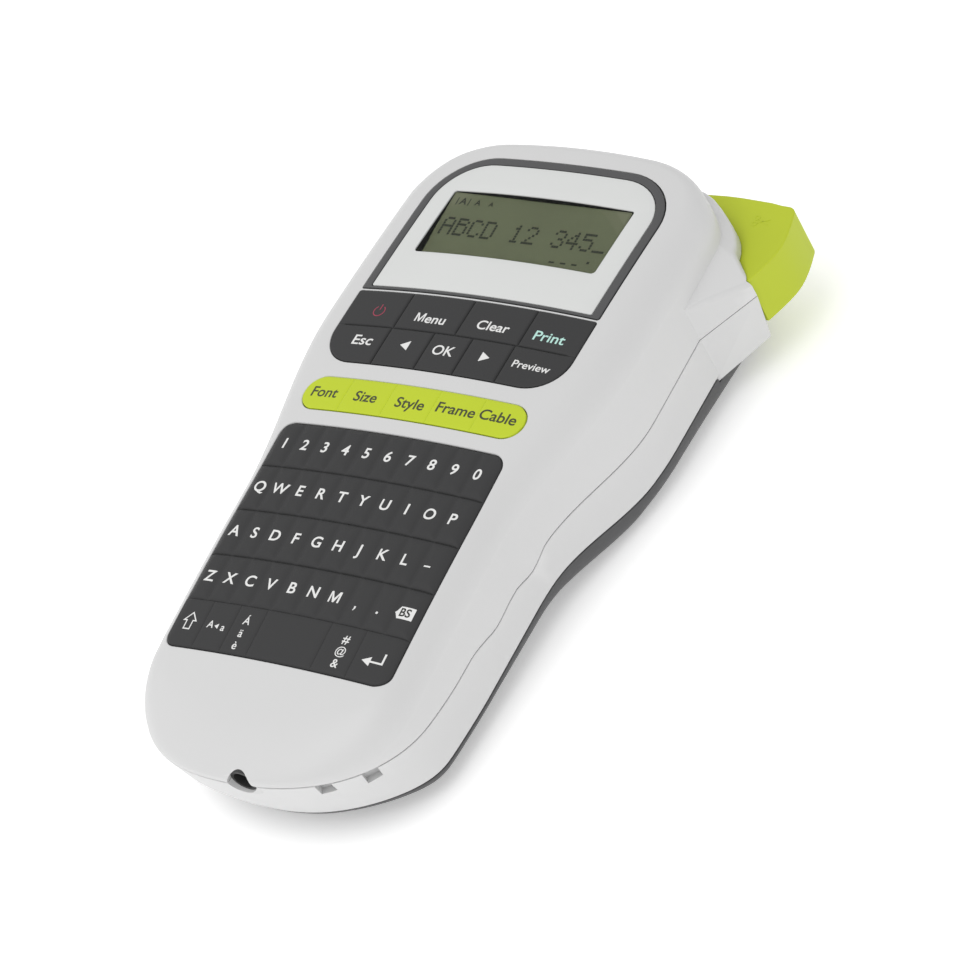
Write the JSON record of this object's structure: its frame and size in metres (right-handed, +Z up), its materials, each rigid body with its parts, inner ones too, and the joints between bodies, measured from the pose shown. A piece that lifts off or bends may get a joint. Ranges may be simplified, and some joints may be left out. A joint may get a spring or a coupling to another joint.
{
  "type": "label maker",
  "caption": "Handheld keyboard label maker with a display, sprung keys, lift-off back cover, tape drive and a cutter lever at its top corner.",
  "frame": {"origin": "on the flat rest face of the back cover under the display end, 65 mm above the number row, on the centre line", "axes": "+X to the right of a user facing the keys, +Y towards the display end, +Z up out of the keys as the label maker lies on its back"},
  "size_m": [0.1109, 0.2125, 0.0537],
  "materials": {
    "white_shell": "light grey-white moulded shell, fine satin grain",
    "grey_cover": "dark grey moulded cover, fine matt grain",
    "key_grey": "dark grey silicone keys, satin",
    "key_green": "yellow-green silicone keys, satin",
    "lever_green": "yellow-green moulded lever, satin",
    "frame_grey": "dark grey band round the display panel",
    "panel_white": "pale display panel",
    "window_clear": "clear display window",
    "lcd_olive": "olive reflective LCD",
    "board_green": "circuit board",
    "black_plastic": "black moulding",
    "steel": "plain steel",
    "brass": "turned brass pinion",
    "gear_white": "natural acetal gears",
    "roller_rubber": "platen rubber",
    "cell_label": "plain wrapped dry cell",
    "cassette_grey": "smoke grey tape cassette",
    "tape_white": "rolled label tape"
  },
  "bodies": {
    "housing": {"battery_cell_1": "cell_label", "battery_cell_2": "cell_label", "battery_cell_3": "cell_label", "battery_cell_4": "cell_label", "battery_cell_5": "cell_label", "battery_cell_6": "cell_label", "battery_contact_high": "steel", "battery_contact_low": "steel", "case_screw_1": "steel", "case_screw_2": "steel", "case_screw_3": "steel", "case_screw_4": "steel", "cassette_case": "cassette_grey", "dc_jack": "black_plastic", "display_frame": "frame_grey", "display_panel": "panel_white", "display_window": "window_clear", "drive_motor": "steel", "front_housing": "white_shell", "lcd_module": "lcd_olive", "lever_pin": "steel", "lever_spring": "steel", "main_board": "board_green", "mechanism_frame": "steel", "print_head": "steel", "rear_housing": "white_shell"},
    "cover": {"back_cover": "grey_cover"},
    "lever": {"cutter_lever": "lever_green", "cutter_blade": "steel"},
    "platen": {"platen_roller": "roller_rubber", "platen_gear": "gear_white"},
    "idler": {"idler_gear": "gear_white"},
    "compound": {"compound_gear": "gear_white"},
    "pinion": {"motor_pinion": "brass"},
    "tape": {"tape_roll": "tape_white"},
    "ribbon": {"ribbon_spool": "black_plastic"},
    "letter_row_1_body": {"letter_row_1": "key_grey"},
    "letter_row_2_body": {"letter_row_2": "key_grey"},
    "letter_row_3_body": {"letter_row_3": "key_grey"},
    "letter_row_4_body": {"letter_row_4": "key_grey"},
    "key_accent_body": {"key_accent": "key_grey"},
    "key_cable_body": {"key_cable": "key_green"},
    "key_caps_body": {"key_caps": "key_grey"},
    "key_clear_body": {"key_clear": "key_grey"},
    "key_enter_body": {"key_enter": "key_grey"},
    "key_escape_body": {"key_escape": "key_grey"},
    "key_font_body": {"key_font": "key_green"},
    "key_frame_body": {"key_frame": "key_green"},
    "key_left_body": {"key_left": "key_grey"},
    "key_menu_body": {"key_menu": "key_grey"},
    "key_ok_body": {"key_ok": "key_grey"},
    "key_power_body": {"key_power": "key_grey"},
    "key_preview_body": {"key_preview": "key_grey"},
    "key_print_body": {"key_print": "key_grey"},
    "key_right_body": {"key_right": "key_grey"},
    "key_shift_body": {"key_shift": "key_grey"},
    "key_size_body": {"key_size": "key_green"},
    "key_space_body": {"key_space": "key_grey"},
    "key_style_body": {"key_style": "key_green"},
    "key_symbol_body": {"key_symbol": "key_grey"}
  },
  "joints": [
    {"name": "cover_lift", "type": "slide", "parent": "housing", "child": "cover", "axis": [0, 0.0958, -0.9954], "range_m": [0, 0.03]},
    {"name": "lever_press", "type": "hinge", "parent": "housing", "child": "lever", "pos_m": [0.048, 0.01579, 0.02379], "axis": [0, -0.0958, 0.9954], "range_deg": [0, 8], "stiffness_Nm_per_rad": 0.9, "springref_deg": -8.59, "deforming": ["lever_spring"]},
    {"name": "platen_spin", "type": "hinge", "parent": "housing", "child": "platen", "pos_m": [0.0134, 0.02821, 0.01796], "axis": [0, -0.0958, 0.9954], "continuous": true},
    {"name": "idler_spin", "type": "hinge", "parent": "housing", "child": "idler", "pos_m": [-0.00287, 0.02877, 0.01801], "axis": [0, -0.0958, 0.9954], "continuous": true},
    {"name": "compound_spin", "type": "hinge", "parent": "housing", "child": "compound", "pos_m": [-0.01554, 0.02921, 0.01805], "axis": [0, -0.0958, 0.9954], "continuous": true},
    {"name": "pinion_spin", "type": "hinge", "parent": "housing", "child": "pinion", "pos_m": [-0.02882, 0.02945, 0.01808], "axis": [0, -0.0958, 0.9954], "continuous": true},
    {"name": "tape_spin", "type": "hinge", "parent": "housing", "child": "tape", "pos_m": [-0.019, -0.00909, 0.0214], "axis": [0, -0.0958, 0.9954], "continuous": true},
    {"name": "ribbon_spin", "type": "hinge", "parent": "housing", "child": "ribbon", "pos_m": [0.016, -0.00511, 0.02178], "axis": [0, -0.0958, 0.9954], "continuous": true},
    {"name": "letter_row_1_press", "type": "slide", "parent": "housing", "child": "letter_row_1_body", "axis": [0, 0.0958, -0.9954], "range_m": [0, 0.001], "stiffness_N_per_m": 900, "springref_m": -0.0004},
    {"name": "letter_row_2_press", "type": "slide", "parent": "housing", "child": "letter_row_2_body", "axis": [0, 0.0958, -0.9954], "range_m": [0, 0.001], "stiffness_N_per_m": 900, "springref_m": -0.0004},
    {"name": "letter_row_3_press", "type": "slide", "parent": "housing", "child": "letter_row_3_body", "axis": [0, 0.0958, -0.9954], "range_m": [0, 0.001], "stiffness_N_per_m": 900, "springref_m": -0.0004},
    {"name": "letter_row_4_press", "type": "slide", "parent": "housing", "child": "letter_row_4_body", "axis": [0, 0.0958, -0.9954], "range_m": [0, 0.001], "stiffness_N_per_m": 900, "springref_m": -0.0004},
    {"name": "key_accent_press", "type": "slide", "parent": "housing", "child": "key_accent_body", "axis": [0, 0.0958, -0.9954], "range_m": [0, 0.001], "stiffness_N_per_m": 500, "springref_m": -0.0004},
    {"name": "key_cable_press", "type": "slide", "parent": "housing", "child": "key_cable_body", "axis": [0, 0.0958, -0.9954], "range_m": [0, 0.001], "stiffness_N_per_m": 500, "springref_m": -0.0004},
    {"name": "key_caps_press", "type": "slide", "parent": "housing", "child": "key_caps_body", "axis": [0, 0.0958, -0.9954], "range_m": [0, 0.001], "stiffness_N_per_m": 500, "springref_m": -0.0004},
    {"name": "key_clear_press", "type": "slide", "parent": "housing", "child": "key_clear_body", "axis": [0, 0.0958, -0.9954], "range_m": [0, 0.001], "stiffness_N_per_m": 500, "springref_m": -0.0004},
    {"name": "key_enter_press", "type": "slide", "parent": "housing", "child": "key_enter_body", "axis": [0, 0.0958, -0.9954], "range_m": [0, 0.001], "stiffness_N_per_m": 500, "springref_m": -0.0004},
    {"name": "key_escape_press", "type": "slide", "parent": "housing", "child": "key_escape_body", "axis": [0, 0.0958, -0.9954], "range_m": [0, 0.001], "stiffness_N_per_m": 500, "springref_m": -0.0004},
    {"name": "key_font_press", "type": "slide", "parent": "housing", "child": "key_font_body", "axis": [0, 0.0958, -0.9954], "range_m": [0, 0.001], "stiffness_N_per_m": 500, "springref_m": -0.0004},
    {"name": "key_frame_press", "type": "slide", "parent": "housing", "child": "key_frame_body", "axis": [0, 0.0958, -0.9954], "range_m": [0, 0.001], "stiffness_N_per_m": 500, "springref_m": -0.0004},
    {"name": "key_left_press", "type": "slide", "parent": "housing", "child": "key_left_body", "axis": [0, 0.0958, -0.9954], "range_m": [0, 0.001], "stiffness_N_per_m": 500, "springref_m": -0.0004},
    {"name": "key_menu_press", "type": "slide", "parent": "housing", "child": "key_menu_body", "axis": [0, 0.0958, -0.9954], "range_m": [0, 0.001], "stiffness_N_per_m": 500, "springref_m": -0.0004},
    {"name": "key_ok_press", "type": "slide", "parent": "housing", "child": "key_ok_body", "axis": [0, 0.0958, -0.9954], "range_m": [0, 0.001], "stiffness_N_per_m": 500, "springref_m": -0.0004},
    {"name": "key_power_press", "type": "slide", "parent": "housing", "child": "key_power_body", "axis": [0, 0.0958, -0.9954], "range_m": [0, 0.001], "stiffness_N_per_m": 500, "springref_m": -0.0004},
    {"name": "key_preview_press", "type": "slide", "parent": "housing", "child": "key_preview_body", "axis": [0, 0.0958, -0.9954], "range_m": [0, 0.001], "stiffness_N_per_m": 500, "springref_m": -0.0004},
    {"name": "key_print_press", "type": "slide", "parent": "housing", "child": "key_print_body", "axis": [0, 0.0958, -0.9954], "range_m": [0, 0.001], "stiffness_N_per_m": 500, "springref_m": -0.0004},
    {"name": "key_right_press", "type": "slide", "parent": "housing", "child": "key_right_body", "axis": [0, 0.0958, -0.9954], "range_m": [0, 0.001], "stiffness_N_per_m": 500, "springref_m": -0.0004},
    {"name": "key_shift_press", "type": "slide", "parent": "housing", "child": "key_shift_body", "axis": [0, 0.0958, -0.9954], "range_m": [0, 0.001], "stiffness_N_per_m": 500, "springref_m": -0.0004},
    {"name": "key_size_press", "type": "slide", "parent": "housing", "child": "key_size_body", "axis": [0, 0.0958, -0.9954], "range_m": [0, 0.001], "stiffness_N_per_m": 500, "springref_m": -0.0004},
    {"name": "key_space_press", "type": "slide", "parent": "housing", "child": "key_space_body", "axis": [0, 0.0958, -0.9954], "range_m": [0, 0.001], "stiffness_N_per_m": 500, "springref_m": -0.0004},
    {"name": "key_style_press", "type": "slide", "parent": "housing", "child": "key_style_body", "axis": [0, 0.0958, -0.9954], "range_m": [0, 0.001], "stiffness_N_per_m": 500, "springref_m": -0.0004},
    {"name": "key_symbol_press", "type": "slide", "parent": "housing", "child": "key_symbol_body", "axis": [0, 0.0958, -0.9954], "range_m": [0, 0.001], "stiffness_N_per_m": 500, "springref_m": -0.0004}
  ],
  "couplings": [
    {"joint": "idler_spin", "follows": "platen_spin", "ratio": -0.8},
    {"joint": "compound_spin", "follows": "platen_spin", "ratio": 2},
    {"joint": "pinion_spin", "follows": "platen_spin", "ratio": -6.8},
    {"joint": "tape_spin", "follows": "platen_spin", "ratio": -0.23684},
    {"joint": "ribbon_spin", "follows": "platen_spin", "ratio": 0.52941}
  ]
}
